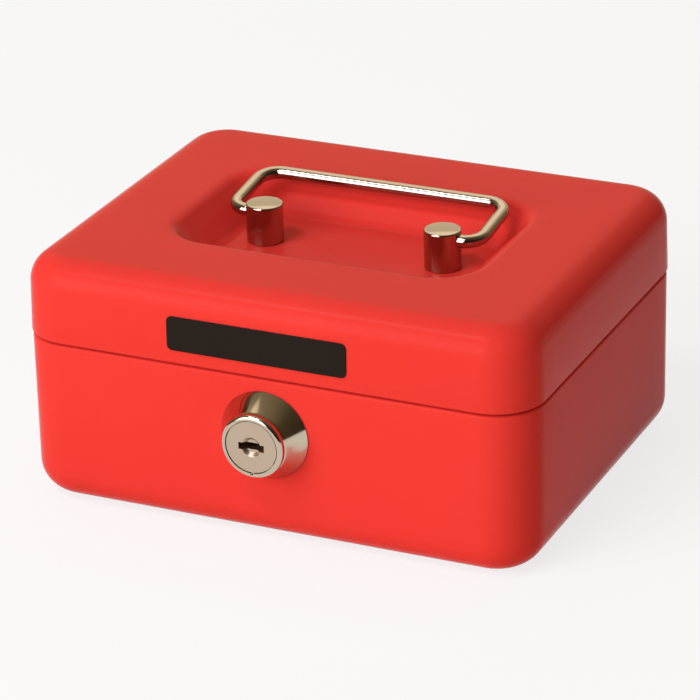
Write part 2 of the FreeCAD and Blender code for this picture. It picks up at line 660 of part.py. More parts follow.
def build():
    """Make every piece and write it under its node name."""
    screws, washers = post_fasteners()
    pieces = {
        "base_shell": base_shell(),
        "lid_shell": lid_shell(),
        "hinge_leaf_base": hinge_leaf_base(),
        "hinge_leaf_lid": hinge_leaf_lid(),
        "hinge_pin": hinge_pin(),
        "lock_escutcheon": lock_escutcheon(),
        "lock_barrel": lock_barrel(),
        "lock_plug": lock_plug(),
        "lock_wafers": lock_wafers(),
        "lock_cam": lock_cam(),
        "cam_washer": cam_washer(),
        "cam_screw": cam_screw(),
        "lock_washer": lock_washer(),
        "lock_nut": lock_nut(),
        "keeper": keeper(),
        "badge_plate": badge_plate(),
        "handle_post_left": handle_post(-1),
        "handle_post_right": handle_post(1),
        "post_screws": screws,
        "post_washers": washers,
        "bail_handle": bail_handle(),
        "coin_tray": coin_tray(),
        "tray_rest_left": tray_rest(-1),
        "tray_rest_right": tray_rest(1),
    }
    os.makedirs("parts", exist_ok=True)
    for name, shape in pieces.items():
        assert shape.isValid(), name
        shape.exportStep(os.path.join("parts", name + ".step"))
        print(name, round(shape.Volume, 1))


build()
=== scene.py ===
"""Looks of a small red steel cash box: painted shells, chromed handle and lock, tray and studio.

Sizes are in millimetres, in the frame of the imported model: +X right, +Y rear, +Z up.
Meshes are scaled to metres as they are made. The floor and the lamps are in metres.
"""
from __future__ import annotations

import logging
import math
from dataclasses import dataclass
from enum import Enum

import bmesh
import bpy
import numpy as np
from mathutils import Matrix, Vector

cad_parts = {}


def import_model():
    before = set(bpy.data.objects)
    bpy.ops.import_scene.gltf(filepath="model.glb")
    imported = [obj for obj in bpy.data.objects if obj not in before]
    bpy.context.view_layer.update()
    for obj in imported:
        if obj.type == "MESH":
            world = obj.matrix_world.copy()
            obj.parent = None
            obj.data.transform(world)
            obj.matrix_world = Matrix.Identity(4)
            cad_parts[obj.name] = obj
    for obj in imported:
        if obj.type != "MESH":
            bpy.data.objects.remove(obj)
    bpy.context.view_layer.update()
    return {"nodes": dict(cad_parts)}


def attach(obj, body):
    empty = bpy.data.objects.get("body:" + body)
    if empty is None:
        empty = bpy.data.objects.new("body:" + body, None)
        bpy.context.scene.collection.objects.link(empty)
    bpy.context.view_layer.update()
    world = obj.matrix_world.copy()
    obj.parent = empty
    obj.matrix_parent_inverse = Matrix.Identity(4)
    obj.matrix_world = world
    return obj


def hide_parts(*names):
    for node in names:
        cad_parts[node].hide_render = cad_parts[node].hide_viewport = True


LOG = logging.getLogger("cash_box")
MM = 0.001

Pair = tuple[float, float]
Triple = tuple[float, float, float]
Stops = tuple[tuple[float, Triple], ...]


class Body(str, Enum):
    """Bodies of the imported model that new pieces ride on."""

    BASE = "base"
    LID = "lid"
    BAIL = "bail"


class Slot(str, Enum):
    """Material slots of the record."""

    RED = "red_paint"
    CHROME = "chrome"
    ZINC = "zinc_steel"
    BRASS = "brass"
    TRAY = "tray_plastic"
    BADGE = "badge_black"


class Side(Enum):
    """The two ends of the handle."""

    LEFT = -1
    RIGHT = 1


# Surfaces


@dataclass(frozen=True)
class RingPattern:
    """Points round a rounded rectangle, as weights of its half sizes and its corner radius."""

    corner_steps: int = 14
    side_steps: int = 10

    def weights(self) -> np.ndarray:
        """Give the weights of every point, in order round the ring.

        A corner point is x = sx (hx - r) + r cos(t) and y = sy (hy - r) + r sin(t), which is
        linear in hx, hy and r. Points on a straight side are mixed from the two corner ends.

        Returns:
            Array of shape (points, 4) with the columns hx, r (for x), hy, r (for y).
        """
        signs = np.array([[1, 1], [-1, 1], [-1, -1], [1, -1]], dtype=float)
        turn = np.linspace(0.0, math.pi / 2, self.corner_steps + 1)
        angle = turn[None, :] + np.arange(len(signs))[:, None] * math.pi / 2
        sx = np.repeat(signs[:, :1], turn.size, axis=1)
        sy = np.repeat(signs[:, 1:], turn.size, axis=1)
        corners = np.stack([sx, np.cos(angle) - sx, sy, np.sin(angle) - sy], axis=-1)
        mix = np.linspace(0.0, 1.0, self.side_steps + 2)[1:-1, None]
        start = corners[:, -1:, :]
        end = np.roll(corners, -1, axis=0)[:, :1, :]
        sides = start * (1 - mix)[None] + end * mix[None]
        return np.concatenate([corners, sides], axis=1).reshape(-1, 4)

    def loft(self, sections: np.ndarray) -> np.ndarray:
        """Carry the ring through a list of sections.

        A point is its weights times the section's half sizes and corner radius, at height z.

        Args:
            sections: Array of rows (half x, half y, corner radius, z).

        Returns:
            Points of shape (sections, points, 3).
        """
        weights = self.weights()
        half_x, half_y, corner, z = (sections[:, i:i + 1] for i in range(4))
        x = half_x * weights[:, 0] + corner * weights[:, 1]
        y = half_y * weights[:, 2] + corner * weights[:, 3]
        return np.stack([x, y, np.broadcast_to(z, x.shape)], axis=-1)


def arc(centre: Pair, radius: float, start: float, end: float, steps: int) -> np.ndarray:
    """Points of a circular arc in a profile plane.

    A point is the centre plus the radius times the angle's cosine across and its sine up.

    Args:
        centre: Centre across and up.
        radius: Radius of the arc.
        start: First angle in degrees.
        end: Last angle in degrees.
        steps: Number of steps along the arc.

    Returns:
        Array of (across, up) points.
    """
    angle = np.radians(np.linspace(start, end, steps + 1))
    across = centre[0] + radius * np.cos(angle)
    up = centre[1] + radius * np.sin(angle)
    return np.stack([across, up], axis=-1)


def ring_mesh(name: str, rings: np.ndarray, hoop: bool = False) -> bpy.types.Object:
    """Make a closed skin from rings of points.

    Each face joins two neighbours on a ring to the same two on the next ring.

    Args:
        name: Name of the new object.
        rings: Points in millimetres, shape (rings, points, 3).
        hoop: Whether the last ring joins the first; if not, both get a flat cap.

    Returns:
        The new object, with its faces pointing outwards.
    """
    count, around = rings.shape[:2]
    index = np.arange(count * around).reshape(count, around)
    rows = np.concatenate([index, index[:1]]) if hoop else index
    following = np.roll(rows, -1, axis=1)
    quads = np.stack([rows[:-1], following[:-1], following[1:], rows[1:]], axis=-1)
    faces = quads.reshape(-1, 4).tolist()
    if not hoop:
        faces += [index[0][::-1].tolist(), index[-1].tolist()]
    mesh = bpy.data.meshes.new(name)
    mesh.from_pydata((rings.reshape(-1, 3) * MM).tolist(), [], faces)
    turned = bmesh.new()
    turned.from_mesh(mesh)
    bmesh.ops.recalc_face_normals(turned, faces=turned.faces)
    turned.to_mesh(mesh)
    turned.free()
    piece = bpy.data.objects.new(name, mesh)
    bpy.context.scene.collection.objects.link(piece)
    return piece


def turned_rings(profile: np.ndarray, steps: int) -> np.ndarray:
    """Turn a profile of (radius, height) points once round the Z axis.

    x is the radius times the turn's cosine, y the radius times its sine, and z the height.

    Args:
        profile: Points (radius, height).
        steps: Number of points round the axis.

    Returns:
        Points of shape (profile points, steps, 3).
    """
    angle = np.linspace(0.0, 2 * math.pi, steps, endpoint=False)
    radius, height = profile[:, :1], profile[:, 1:]
    x, y = radius * np.cos(angle), radius * np.sin(angle)
    return np.stack([x, y, np.broadcast_to(height, x.shape)], axis=-1)


def smooth_faces(piece: bpy.types.Object, sharp_angle: float = 38.0) -> None:
    """Shade a piece smoothly, apart from its sharp edges.

    Args:
        piece: The piece to shade.
        sharp_angle: Fold in degrees past which an edge stays sharp.
    """
    mesh = piece.data
    mesh.polygons.foreach_set("use_smooth", np.ones(len(mesh.polygons), dtype=bool))
    mesh.set_sharp_from_angle(angle=math.radians(sharp_angle))


def cut_away(piece: bpy.types.Object, cutter: bpy.types.Object) -> None:
    """Subtract a closed cutter from a piece, and remove the cutter.

    Args:
        piece: The piece to cut.
        cutter: The shape to take away.
    """
    modifier = piece.modifiers.new("cut", "BOOLEAN")
    modifier.operation = "DIFFERENCE"
    modifier.solver = "EXACT"
    modifier.object = cutter
    scene_graph = bpy.context.evaluated_depsgraph_get()
    mesh = bpy.data.meshes.new_from_object(piece.evaluated_get(scene_graph))
    piece.modifiers.clear()
    piece.data = mesh
    bpy.data.objects.remove(cutter)


def block_cutter(low: Triple, high: Triple) -> bpy.types.Object:
    """Make a box between two corners, for cutting.

    Args:
        low: Corner with the least coordinates.
        high: Corner with the greatest coordinates.

    Returns:
        The box.
    """
    (x0, y0, z0), (x1, y1, z1) = low, high
    plan = np.array([[x1, y1], [x0, y1], [x0, y0], [x1, y0]])
    rings = np.stack([np.column_stack([plan, np.full(len(plan), z)]) for z in (z0, z1)])
    return ring_mesh("cutter", rings)


# Finishes


class NodeTree:
    """Adds nodes to the tree of a material or a world, and links them."""

    def __init__(self, owner: bpy.types.Material | bpy.types.World) -> None:
        """Open the owner's tree."""
        owner.use_nodes = True
        self.tree = owner.node_tree

    def add(self, kind: str, **settings: object) -> bpy.types.Node:
        """Add a node and set its named properties or inputs.

        Args:
            kind: Blender's node type.
            settings: Property names, or input names with underscores for spaces.

        Returns:
            The new node.
        """
        node = self.tree.nodes.new(kind)
        for key, value in settings.items():
            label = key.replace("_", " ")
            if label in node.inputs:
                node.inputs[label].default_value = value
            else:
                setattr(node, key, value)
        return node

    def link(self, source: bpy.types.NodeSocket, target: bpy.types.NodeSocket) -> None:
        """Join two sockets."""
        self.tree.links.new(source, target)

    def along(self, coordinate: str, direction: Triple) -> bpy.types.NodeSocket:
        """Measure a texture coordinate along a direction, as their dot product.

        Args:
            coordinate: Name of the texture coordinate.
            direction: Direction to measure along.

        Returns:
            The measure's socket.
        """
        place = self.add("ShaderNodeTexCoord")
        product = self.add("ShaderNodeVectorMath", operation="DOT_PRODUCT")
        product.inputs[1].default_value = direction
        self.link(place.outputs[coordinate], product.inputs[0])
        return product.outputs["Value"]

    def remap(self, value: bpy.types.NodeSocket, source: Pair,
              target: Pair = (0.0, 1.0)) -> bpy.types.NodeSocket:
        """Map a value from one range onto another, held at both ends.

        Args:
            value: Value to map.
            source: Range of the value.
            target: Range of the result.

        Returns:
            The result's socket.
        """
        node = self.add("ShaderNodeMapRange", From_Min=source[0], From_Max=source[1],
                        To_Min=target[0], To_Max=target[1])
        self.link(value, node.inputs["Value"])
        return node.outputs["Result"]

    def ramp(self, value: bpy.types.NodeSocket, stops: Stops) -> bpy.types.NodeSocket:
        """Turn a value into a colour by a row of stops.

        Args:
            value: Value from 0 to 1.
            stops: Place and colour of each stop, in order.

        Returns:
            The colour's socket.
        """
        node = self.add("ShaderNodeValToRGB")
        elements = node.color_ramp.elements
        while len(elements) < len(stops):
            elements.new(1.0)
        for element, (place, colour) in zip(elements, stops):
            element.position = place
            element.color = (*colour, 1.0)
        self.link(value, node.inputs["Fac"])
        return node.outputs["Color"]

    def mix(self, first: bpy.types.Node, second: bpy.types.Node) -> bpy.types.Node:
        """Add a mix of two shaders.

        Args:
            first: Shader that shows at a factor of 0.
            second: Shader that shows at a factor of 1.

        Returns:
            The mix, with its factor not set yet.
        """
        node = self.add("ShaderNodeMixShader")
        self.link(first.outputs[0], node.inputs[1])
        self.link(second.outputs[0], node.inputs[2])
        return node

    def seen(self) -> bpy.types.NodeSocket:
        """Tell rays that show a surface, straight or in metal and glass, from rays that light others.

        Returns:
            Socket that is 1 for camera, glossy and transmission rays, and 0 for the rest.
        """
        path = self.add("ShaderNodeLightPath")
        shown = path.outputs["Is Camera Ray"]
        for kind in ("Is Glossy Ray", "Is Transmission Ray"):
            either = self.add("ShaderNodeMath", operation="MAXIMUM")
            self.link(shown, either.inputs[0])
            self.link(path.outputs[kind], either.inputs[1])
            shown = either.outputs[0]
        return shown


class SurfaceTree(NodeTree):
    """Node tree of a new material with a Principled surface."""

    def __init__(self, name: str) -> None:
        """Start the material.

        Args:
            name: Name of the new material.
        """
        self.material = bpy.data.materials.new(name)
        super().__init__(self.material)
        self.surface = self.tree.nodes["Principled BSDF"]

    def set(self, label: str, value: float) -> None:
        """Set one of the surface's inputs."""
        self.surface.inputs[label].default_value = value

    def feed(self, label: str, source: bpy.types.NodeSocket) -> None:
        """Link a socket to one of the surface's inputs."""
        self.link(source, self.surface.inputs[label])

    def noise(self, scale: float, detail: float, stretch: Triple) -> bpy.types.NodeSocket:
        """Add noise on Object coordinates.

        Args:
            scale: Cells per metre.
            detail: Octaves of finer noise.
            stretch: Scale factors along X, Y and Z.

        Returns:
            The noise value's socket.
        """
        place = self.add("ShaderNodeTexCoord")
        mapping = self.add("ShaderNodeMapping", Scale=stretch)
        pattern = self.add("ShaderNodeTexNoise", Scale=scale, Detail=detail)
        self.link(place.outputs["Object"], mapping.inputs["Vector"])
        self.link(mapping.outputs["Vector"], pattern.inputs["Vector"])
        return pattern.outputs["Fac"]

    def bump(self, height: bpy.types.NodeSocket, depth: float) -> None:
        """Give the surface a bump.

        Args:
            height: Socket of the height.
            depth: Depth of the bump in metres.
        """
        node = self.add("ShaderNodeBump", Strength=1.0, Distance=depth)
        self.link(height, node.inputs["Height"])
        self.feed("Normal", node.outputs["Normal"])


EVEN: Triple = (1.0, 1.0, 1.0)


@dataclass(frozen=True)
class Mottle:
    """Scales and details of the three noises that every finish has."""

    cloud_scale: float = 25.0
    cloud_detail: float = 3.0
    blotch_scale: float = 140.0
    blotch_detail: float = 4.0
    blotch_span: Pair = (0.3, 0.7)
    grain_detail: float = 2.0


@dataclass(frozen=True)
class Finish:
    """A finish: two close colours in clouds, blotches of roughness and a fine relief in metres."""

    name: str
    slot: Slot
    dark: Triple
    light: Triple
    roughness: Pair
    grain: float
    relief: float
    metallic: float = 0.0
    specular: float = 0.5
    stretch: Triple = EVEN
    mottle: Mottle = Mottle()

    def material(self) -> bpy.types.Material:
        """Make the finish's material, or find the one made before.

        Returns:
            The material.
        """
        made = bpy.data.materials.get(self.name)
        if made:
            return made
        mottle = self.mottle
        nodes = SurfaceTree(self.name)
        clouds = nodes.noise(mottle.cloud_scale, mottle.cloud_detail, EVEN)
        blotches = nodes.noise(mottle.blotch_scale, mottle.blotch_detail, self.stretch)
        grain = nodes.noise(self.grain, mottle.grain_detail, self.stretch)
        nodes.feed("Base Color", nodes.ramp(clouds, ((0.0, self.dark), (1.0, self.light))))
        nodes.feed("Roughness", nodes.remap(blotches, mottle.blotch_span, self.roughness))
        nodes.bump(grain, self.relief)
        nodes.set("Metallic", self.metallic)
        nodes.set("Specular IOR Level", self.specular)
        return nodes.material

    def dress(self, piece: bpy.types.Object) -> None:
        """Put the finish on a piece, in place of what it had."""
        piece.data.materials.clear()
        piece.data.materials.append(self.material())


RED_PAINT = Finish(
    "red_enamel", Slot.RED, dark=(0.77, 0.041, 0.033), light=(0.83, 0.049, 0.039),
    roughness=(0.20, 0.26), grain=1400.0, relief=0.000006, specular=0.03)
# chrome plating whose colour is darkened and warmed to brown: a painted reflection of a dark warm
# room
CHROME = Finish(
    "chrome_plate_painted_warm", Slot.CHROME, dark=(0.55, 0.47, 0.36), light=(0.61, 0.53, 0.42),
    roughness=(0.09, 0.15), grain=500.0, relief=0.000004, metallic=1.0)
# painted shade: a darker copy of the chrome, so the posts and the bail show dimmer reflections than
# the lock
SHADED_HANDLE_CHROME = Finish(
    "handle_chrome_painted_shade", Slot.CHROME, dark=(0.39, 0.34, 0.28), light=(0.45, 0.40, 0.34),
    roughness=(0.06, 0.11), grain=500.0, relief=0.000004, metallic=1.0)
NICKEL = Finish(
    "satin_nickel", Slot.CHROME, dark=(0.50, 0.39, 0.29), light=(0.58, 0.46, 0.35),
    roughness=(0.30, 0.40), grain=900.0, relief=0.000006, metallic=1.0)
ZINC = Finish(
    "zinc_plate", Slot.ZINC, dark=(0.52, 0.53, 0.54), light=(0.66, 0.66, 0.65),
    roughness=(0.25, 0.42), grain=900.0, relief=0.00001, metallic=1.0, stretch=(1.0, 1.0, 6.0))
BRASS = Finish(
    "stamped_brass", Slot.BRASS, dark=(0.62, 0.44, 0.17), light=(0.78, 0.58, 0.26),
    roughness=(0.25, 0.40), grain=900.0, relief=0.00001, metallic=1.0)
TRAY_BLACK = Finish(
    "moulded_black", Slot.TRAY, dark=(0.012, 0.012, 0.013), light=(0.022, 0.022, 0.023),
    roughness=(0.42, 0.55), grain=2600.0, relief=0.00003)
BADGE_BLACK = Finish(
    "satin_black", Slot.BADGE, dark=(0.014, 0.010, 0.008), light=(0.020, 0.014, 0.011),
    roughness=(0.30, 0.38), grain=1800.0, relief=0.000008, specular=0.05)


def settle(piece: bpy.types.Object, body: Body, finish: Finish, *nodes: str) -> None:
    """Dress a new piece, ride it on a body and let it stand for CAD nodes.

    Args:
        piece: The new piece.
        body: Body that it moves with.
        finish: Finish that it wears.
        nodes: CAD nodes that it stands for.
    """
    finish.dress(piece)
    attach(piece, body.value)
    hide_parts(*nodes)
    LOG.info("made %s on %s", piece.name, body.value)


# Pieces


@dataclass(frozen=True)
class Outline:
    """Plan of the box, its sheet, its lock and its hinge, shared by the pieces."""

    width: float = 152.0
    depth: float = 120.4
    corner: float = 13.7
    sheet: float = 1.0
    base_top: float = 48.4
    lid_bottom: float = 49.1
    rim_top: float = 54.0
    lock_height: float = 32.2
    lock_bore: float = 8.5
    hinge_half: float = 44.8
    hinge_y: float = 59.2
    hinge_z: float = 47.5
    barrel_room: float = 2.6

    def sections(self, profile: np.ndarray) -> np.ndarray:
        """Turn profile points into sections that keep the plan's shape.

        A point's inset from the full half width also comes off the half depth and the corner.

        Args:
            profile: Points (half width, height).

        Returns:
            Rows (half x, half y, corner radius, z).
        """
        half, height = profile[:, 0], profile[:, 1]
        inset = self.width / 2 - half
        return np.stack([half, self.depth / 2 - inset, self.corner - inset, height], axis=-1)

    def at_lock(self, rings: np.ndarray) -> np.ndarray:
        """Lay rings about Z down, so that they point out of the front wall at the lock.

        x stays, z runs forward from the wall, and y rises from the lock's height.

        Args:
            rings: Points of shape (rings, points, 3), with Z outwards from the wall.

        Returns:
            The points in place.
        """
        x, y, z = rings[..., 0], rings[..., 1], rings[..., 2]
        return np.stack([x, -self.depth / 2 - z, self.lock_height + y], axis=-1)

    def hinge_notch(self, low: float, high: float) -> bpy.types.Object:
        """Make the cutter for the hinge barrel's room in a rear wall, between two heights."""
        return block_cutter((-self.hinge_half, self.hinge_y - self.barrel_room, low),
                            (self.hinge_half, self.depth, high))


@dataclass(frozen=True)
class BaseShell:
    """Lower box: rounded bottom edge, plain walls and a stepped rim."""

    plan: Outline
    bottom_fillet: float = 9.4
    shoulder_fillet: float = 0.9
    rim_gap: float = 0.4
    rim_edge: float = 0.45
    hole_reach: float = 3.0
    bottom_steps: int = 12
    shoulder_steps: int = 6
    root_steps: int = 3
    lip_steps: int = 8
    hole_steps: int = 72

    def skin(self, inset: float) -> np.ndarray:
        """Profile of one side of the sheet from the floor's edge up to the rim.

        Quarter arcs at the bottom edge, the shoulder and the rim's foot, with straight lines
        between them.

        Args:
            inset: Distance of this side from the outer face.

        Returns:
            Points (half width, height).
        """
        wall = self.plan.width / 2 - inset
        fillet = self.bottom_fillet - inset
        shoulder = self.plan.base_top - inset
        rim = wall - self.plan.sheet - self.rim_gap
        edge = self.shoulder_fillet if inset == 0 else self.rim_edge
        root = self.rim_edge / 2
        bottom_arc = arc((wall - fillet, inset + fillet), fillet, -90, 0, self.bottom_steps)
        shoulder_arc = arc((wall - edge, shoulder - edge), edge, 0, 90, self.shoulder_steps)
        root_arc = arc((rim + root, shoulder + root), root, 270, 180, self.root_steps)
        return np.concatenate([bottom_arc, shoulder_arc, root_arc])

    def lock_hole(self) -> bpy.types.Object:
        """Make the cutter for the lock's hole in the front wall.

        Returns:
            The cutter, a cylinder through the wall.
        """
        bore, reach = self.plan.lock_bore, self.hole_reach
        hole = turned_rings(np.array([[bore, -reach], [bore, reach]]), self.hole_steps)
        return ring_mesh("cutter", self.plan.at_lock(hole))

    def build(self) -> None:
        """Make the shell, cut the lock hole and the hinge notch, and paint it.

        The outer side, a half-round lip and the inner side are one profile, carried round the plan.
        """
        plan = self.plan
        outer, inner = self.skin(0.0), self.skin(plan.sheet)
        rim = (outer[-1, 0] + inner[-1, 0]) / 2
        edge = plan.sheet / 2
        lip = arc((rim, plan.rim_top - edge), edge, 0, 180, self.lip_steps)
        profile = np.concatenate([outer, lip, inner[::-1]])
        shell = ring_mesh("painted_base", RingPattern().loft(plan.sections(profile)))
        cut_away(shell, self.lock_hole())
        room = plan.barrel_room
        cut_away(shell, plan.hinge_notch(plan.hinge_z - room, plan.rim_top + room))
        smooth_faces(shell)
        settle(shell, Body.BASE, RED_PAINT, "base_shell")


@dataclass(frozen=True)
class LidShell:
    """Lid: drafted walls, a broad top rounding and a dished recess for the handle."""

    plan: Outline
    top: float = 72.2
    overhang: float = 0.3
    draft: float = 1.5
    top_fillet: float = 8.5
    recess_x: float = 49.0
    recess_y: float = 31.7
    recess_corner: float = 16.5
    recess_depth: float = 10.05
    recess_blend: float = 5.0
    recess_slope: float = 45.0
    blend_steps: int = 8
    flat_steps: int = 5
    fillet_steps: int = 16
    hem_steps: int = 8

    @property
    def recess_floor(self) -> float:
        """Height of the recess floor's upper face."""
        return self.top - self.recess_depth

    def recess(self, inset: float) -> np.ndarray:
        """Sections of the dish from its floor out to its rim on the top face.

        The slope runs between a hollow arc at the floor and a round arc at the rim. Each arc
        starts on its flat, its radius times the tangent of half the slope from their corner.

        Args:
            inset: Distance of this side of the sheet from the outer face.

        Returns:
            Rows (half x, half y, corner radius, z).
        """
        slope = math.radians(self.recess_slope)
        low, high = self.recess_blend + inset, self.recess_blend - inset
        top, floor = self.top - inset, self.recess_floor - inset
        reach = math.tan(slope / 2)
        sharp = high * reach
        foot = sharp + self.recess_depth / math.tan(slope)
        turn = np.linspace(0.0, slope, self.blend_steps + 1)
        rise = 1 - np.cos(turn)
        hollow = np.stack([foot + low * (reach - np.sin(turn)), floor + low * rise], axis=-1)
        rounded = np.stack([sharp - high * (reach - np.sin(turn)), top - high * rise], axis=-1)
        profile = np.concatenate([hollow, rounded[::-1]])
        shrink, height = profile[:, 0], profile[:, 1]
        return np.stack([self.recess_x - shrink, self.recess_y - shrink,
                         self.recess_corner - shrink, height], axis=-1)

    def wall(self, inset: float) -> np.ndarray:
        """Profile from the top face over the rounding and down the drafted wall.

        The rounding's arc stops at the draft angle, and the wall goes on along its tangent.

        Args:
            inset: Distance of this side of the sheet from the outer face.

        Returns:
            Points (half width, height).
        """
        slope = math.radians(self.draft)
        radius = self.top_fillet - inset
        foot = self.plan.width / 2 + self.overhang - inset
        centre_z = self.top - inset - radius
        touch = centre_z + radius * math.sin(slope)
        drawn_in = (touch - self.plan.lid_bottom) * math.tan(slope)
        centre_x = foot - drawn_in - radius * math.cos(slope)
        over = arc((centre_x, centre_z), radius, 90, self.draft, self.fillet_steps)
        edge = self.plan.sheet / 2
        low = self.plan.lid_bottom + edge
        return np.concatenate([over, [[foot - edge * math.tan(slope), low]]])

    def side(self, inset: float) -> np.ndarray:
        """All sections of one side of the sheet, from the recess floor to the lower edge.

        The flat top is an even mix of the dish's last section and the wall's first.

        Args:
            inset: Distance of this side of the sheet from the outer face.

        Returns:
            Rows (half x, half y, corner radius, z).
        """
        dish = self.recess(inset)
        wall = self.plan.sections(self.wall(inset))
        mix = np.linspace(0.0, 1.0, self.flat_steps + 1)[1:-1, None]
        flat = dish[-1:] * (1 - mix) + wall[:1] * mix
        return np.concatenate([dish, flat, wall])

    def build(self) -> None:
        """Make the lid, cut the hinge notch and paint it.

        The outer side, a half-round hem and the inner side are one row of sections.
        """
        plan = self.plan
        outer, inner = self.side(0.0), self.side(plan.sheet)
        edge = plan.sheet / 2
        middle = (outer[-1, 0] + inner[-1, 0]) / 2
        turn_under = arc((middle, plan.lid_bottom + edge), edge, 0, -180, self.hem_steps)
        hem = plan.sections(turn_under[1:-1])
        rings = RingPattern().loft(np.concatenate([outer, hem, inner[::-1]]))
        shell = ring_mesh("painted_lid", rings)
        room = plan.barrel_room
        cut_away(shell, plan.hinge_notch(plan.lid_bottom - room, plan.hinge_z + room))
        smooth_faces(shell)
        settle(shell, Body.LID, RED_PAINT, "lid_shell")


@dataclass(frozen=True)
class Handle:
    """Two chromed posts on the recess floor, and the wire bail that swings in them."""

    floor: float
    post_x: float = 27.35
    post_radius: float = 5.3
    post_height: float = 11.5
    post_edge: float = 0.55
    axis_drop: float = 3.05
    wire_radius: float = 1.9
    engagement: float = 4.0
    end_reach: float = 10.55
    arm: float = 23.3
    end_bend: float = 5.0
    bar_bend: float = 6.0
    tilt: float = 7.3
    edge_steps: int = 5
    post_steps: int = 72
    bend_steps: int = 14
    wire_steps: int = 28

    @property
    def post_top(self) -> float:
        """Height of the posts' upper faces."""
        return self.floor + self.post_height

    def build_post(self, side: Side) -> None:
        """Turn one post, with a rounded top edge and a small bevel at its foot.

        Args:
            side: End of the handle that the post carries.
        """
        edge, radius = self.post_edge, self.post_radius
        rim = arc((radius - edge, self.post_top - edge), edge, 0, 90, self.edge_steps)
        bevel = edge / 2
        foot = np.array([[radius - bevel, self.floor], [radius, self.floor + bevel]])
        rings = turned_rings(np.concatenate([foot, rim]), self.post_steps)
        rings = rings + np.array([side.value * self.post_x, 0.0, 0.0])
        post = ring_mesh("post_" + side.name.lower(), rings)
        smooth_faces(post)
        settle(post, Body.LID, SHADED_HANDLE_CHROME, "handle_post_" + side.name.lower())

    def path(self) -> tuple[np.ndarray, np.ndarray]:
        """Centre line of the bail in its own plane: ends, arms and bar with round bends.

        The right half is a straight end and two quarter arcs, and the left half mirrors it.

        Returns:
            Points (x, y) from the left end to the right one, and the direction at each point.
        """
        end_x = self.post_x + self.post_radius - self.engagement
        half_span = self.post_x + self.end_reach
        end, bar = self.end_bend, self.bar_bend
        near = arc((half_span - end, end), end, -90, 0, self.bend_steps)
        far = arc((half_span - bar, self.arm - bar), bar, 0, 90, self.bend_steps)
        right = np.concatenate([[[end_x, 0.0]], near, far])
        turns = [arc((0.0, 0.0), 1.0, start, start + 90, self.bend_steps) for start in (0, 90)]
        heading = np.concatenate([[[1.0, 0.0]], *turns])
        mirror = np.array([-1.0, 1.0])
        points = np.concatenate([right * mirror, right[::-1]])
        return points, np.concatenate([heading * mirror, -heading[::-1]])

    def build_bail(self) -> None:
        """Carry a circle along the bail's centre line and lay it back at its tilt.

        A point is the centre line plus the wire's radius times the angle's cosine sideways and
        its sine upwards, turned about X by the tilt and raised to the axis.
        """
        path, along = self.path()
        across = np.stack([-along[:, 1], along[:, 0]], axis=-1)
        angle = np.linspace(0.0, 2 * math.pi, self.wire_steps, endpoint=False)
        sideways = (self.wire_radius * np.cos(angle))[None, :, None]
        flat = path[:, None, :] + across[:, None, :] * sideways
        height = np.broadcast_to(self.wire_radius * np.sin(angle), flat.shape[:2])
        tilt = math.radians(self.tilt)
        y = flat[..., 1] * math.cos(tilt) - height * math.sin(tilt)
        z = flat[..., 1] * math.sin(tilt) + height * math.cos(tilt)
        axis_z = self.post_top - self.axis_drop
        bail = ring_mesh("bail_wire", np.stack([flat[..., 0], y, z + axis_z], axis=-1))
        smooth_faces(bail)
        settle(bail, Body.BAIL, SHADED_HANDLE_CHROME, "bail_handle")

    def build(self) -> None:
        """Make both posts and the bail."""
        for side in Side:
            self.build_post(side)
        self.build_bail()


@dataclass(frozen=True)
class Lock:
    """Chromed cone round the lock, as a turned skin."""

    plan: Outline
    cone_base: float = 12.9
    cone_tip: float = 9.1
    cone_length: float = 7.1
    hollow: float = 0.12
    edge: float = 0.35
    flank_steps: int = 13
    turn_steps: int = 96

    def build(self) -> None:
        """Make the cone with bevelled ends; its flank is a line less a half sine of the hollow."""
        bore, edge = self.plan.lock_bore, self.edge
        step = np.linspace(0.0, 1.0, self.flank_steps + 1)
        line = self.cone_base + (self.cone_tip - self.cone_base) * step
        radius = line - self.hollow * np.sin(math.pi * step)
        flank = np.stack([radius, edge + (self.cone_length - 2 * edge) * step], axis=-1)
        foot = np.array([[bore, 0.0], [self.cone_base - edge, 0.0]])
        tip = np.array([[self.cone_tip - edge, self.cone_length], [bore, self.cone_length]])
        rings = turned_rings(np.concatenate([foot, flank, tip]), self.turn_steps)
        cone = ring_mesh("lock_cone", self.plan.at_lock(rings), hoop=True)
        smooth_faces(cone)
        settle(cone, Body.BASE, CHROME, "lock_escutcheon")


